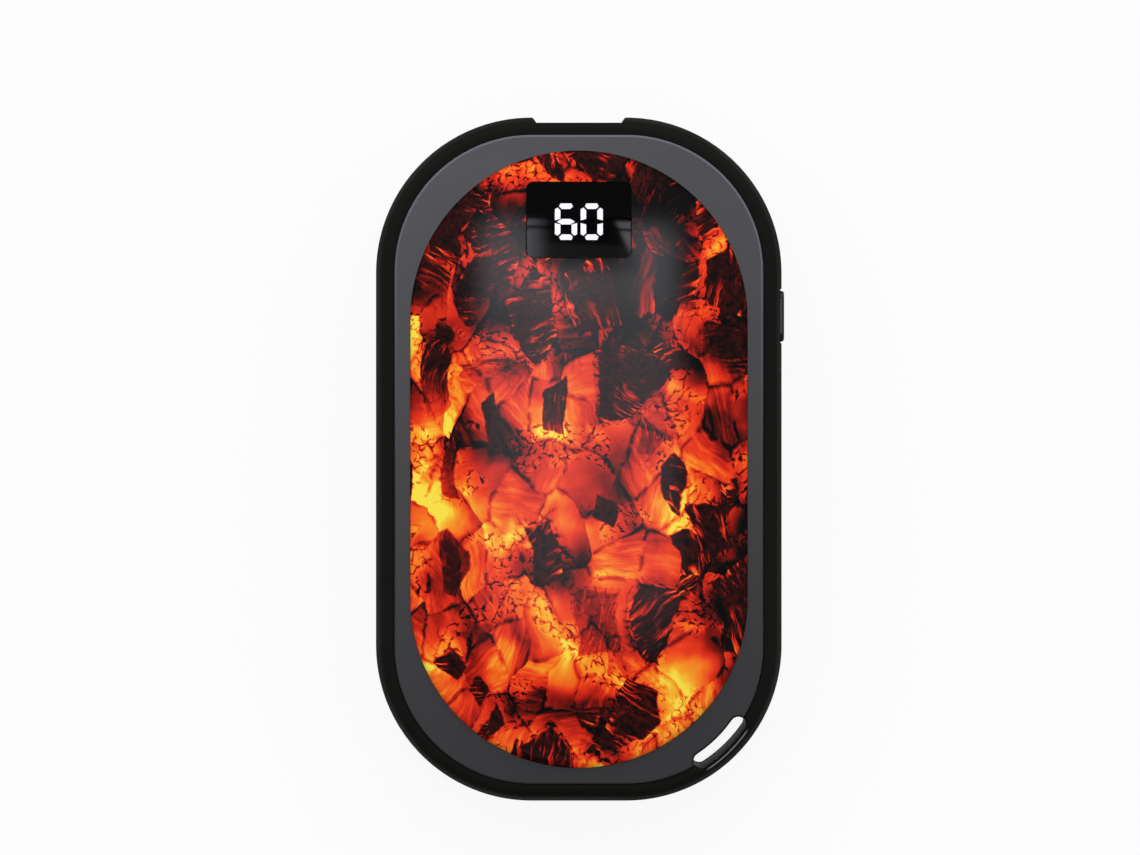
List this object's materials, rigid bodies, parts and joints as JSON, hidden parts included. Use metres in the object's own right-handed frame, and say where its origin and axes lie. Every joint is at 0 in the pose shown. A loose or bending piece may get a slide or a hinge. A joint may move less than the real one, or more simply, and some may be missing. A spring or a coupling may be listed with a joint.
{
  "type": "rechargeable hand warmer",
  "caption": "Pocket-size rechargeable hand warmer: rounded black rim, grey bezels, domed printed front with a lit display, flat rear plate, side power button and lanyard slot.",
  "frame": {"origin": "centre of the flat rear rest face", "axes": "+Z from the rest face to the domed front, +Y towards the charging port, +X towards the power button"},
  "size_m": [0.0603, 0.101, 0.0237],
  "materials": {
    "black_abs": "matte",
    "grey_abs": "satin",
    "printed_panel": "gloss",
    "anodised_plate": "satin",
    "smoked_acrylic": "gloss",
    "adhesive_tape": "matte",
    "zinc_steel": "satin",
    "moulded_black": "matte",
    "gold_contact": "polished",
    "nickel_tab": "satin",
    "lit_diffuser": "satin",
    "unlit_diffuser": "satin",
    "circuit_board": "satin",
    "pouch_foil": "satin",
    "white_nylon": "satin",
    "lead_sheath": "satin",
    "polyimide_film": "gloss",
    "sensor_ceramic": "satin",
    "heat_foam": "matte",
    "ferrite": "matte"
  },
  "bodies": {
    "case": {"mid_frame": "black_abs", "front_bezel": "grey_abs", "rear_cover": "grey_abs", "lanyard_sleeve": "grey_abs", "front_panel": "printed_panel", "rear_panel": "anodised_plate", "display_lens": "smoked_acrylic", "front_panel_tape": "adhesive_tape", "rear_panel_tape": "adhesive_tape", "cell_pad": "adhesive_tape", "case_screws": "zinc_steel", "board_screws": "zinc_steel", "usb_shell": "zinc_steel", "switch_cover": "zinc_steel", "switch_disc": "zinc_steel", "switch_base": "moulded_black", "usb_tongue": "moulded_black", "display_module": "moulded_black", "display_spacer": "moulded_black", "control_chip": "moulded_black", "charge_chip": "moulded_black", "heater_transistors": "moulded_black", "protection_chips": "moulded_black", "usb_contacts": "gold_contact", "display_pins": "gold_contact", "cell_tabs": "nickel_tab", "lit_segments": "lit_diffuser", "unlit_segments": "unlit_diffuser", "main_board": "circuit_board", "display_board": "circuit_board", "protection_board": "circuit_board", "lower_cell": "pouch_foil", "upper_cell": "pouch_foil", "battery_socket": "white_nylon", "battery_plug": "white_nylon", "front_heater_socket": "white_nylon", "rear_heater_socket": "white_nylon", "battery_leads": "lead_sheath", "front_heater_film": "polyimide_film", "rear_heater_film": "polyimide_film", "front_thermistor": "sensor_ceramic", "rear_thermistor": "sensor_ceramic", "board_capacitors": "sensor_ceramic", "front_foam": "heat_foam", "rear_foam": "heat_foam", "power_inductor": "ferrite"},
    "button": {"power_button": "black_abs", "switch_plunger": "moulded_black"}
  },
  "joints": [
    {"name": "button_press", "type": "slide", "parent": "case", "child": "button", "axis": [-1, 0, 0], "range_m": [0, 0.0003], "stiffness_N_per_m": 5000, "deforming": ["switch_disc"]}
  ]
}
